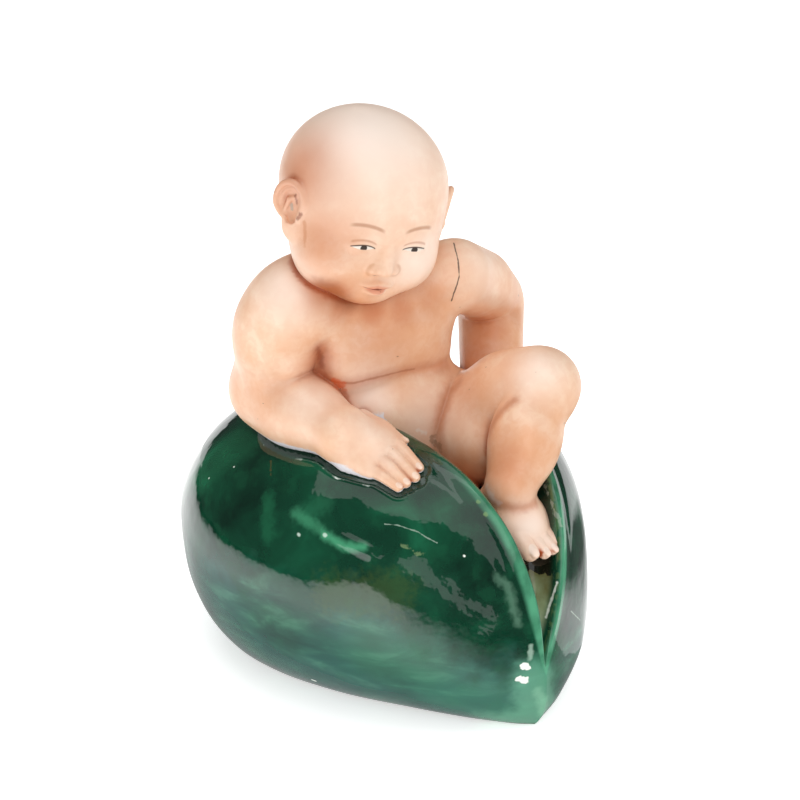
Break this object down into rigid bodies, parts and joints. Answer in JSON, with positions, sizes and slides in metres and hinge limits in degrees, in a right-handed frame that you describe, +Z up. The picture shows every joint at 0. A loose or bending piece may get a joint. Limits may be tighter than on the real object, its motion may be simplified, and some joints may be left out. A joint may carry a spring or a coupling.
{
  "type": "porcelain boy and peach figure",
  "caption": "Porcelain figure of a bald child sitting in a split peach, one knee drawn up and one arm resting on the fruit, flesh enamel above a green glaze.",
  "frame": {"origin": "middle of the peach's flat foot, on the ground", "axes": "+Z up, -Y towards the peach's tip, +X towards the boy's left side"},
  "size_m": [0.1457, 0.167, 0.2153],
  "materials": {
    "green_glaze": "deep emerald lead glaze over white porcelain, very glossy, thinner and paler on the lips of the fruit",
    "flesh_enamel": "peach flesh enamel fired over the glaze, semi-gloss, brushed orange-red in the creases"
  },
  "bodies": {
    "root": {"boy_on_peach": "green_glaze"}
  },
  "joints": []
}
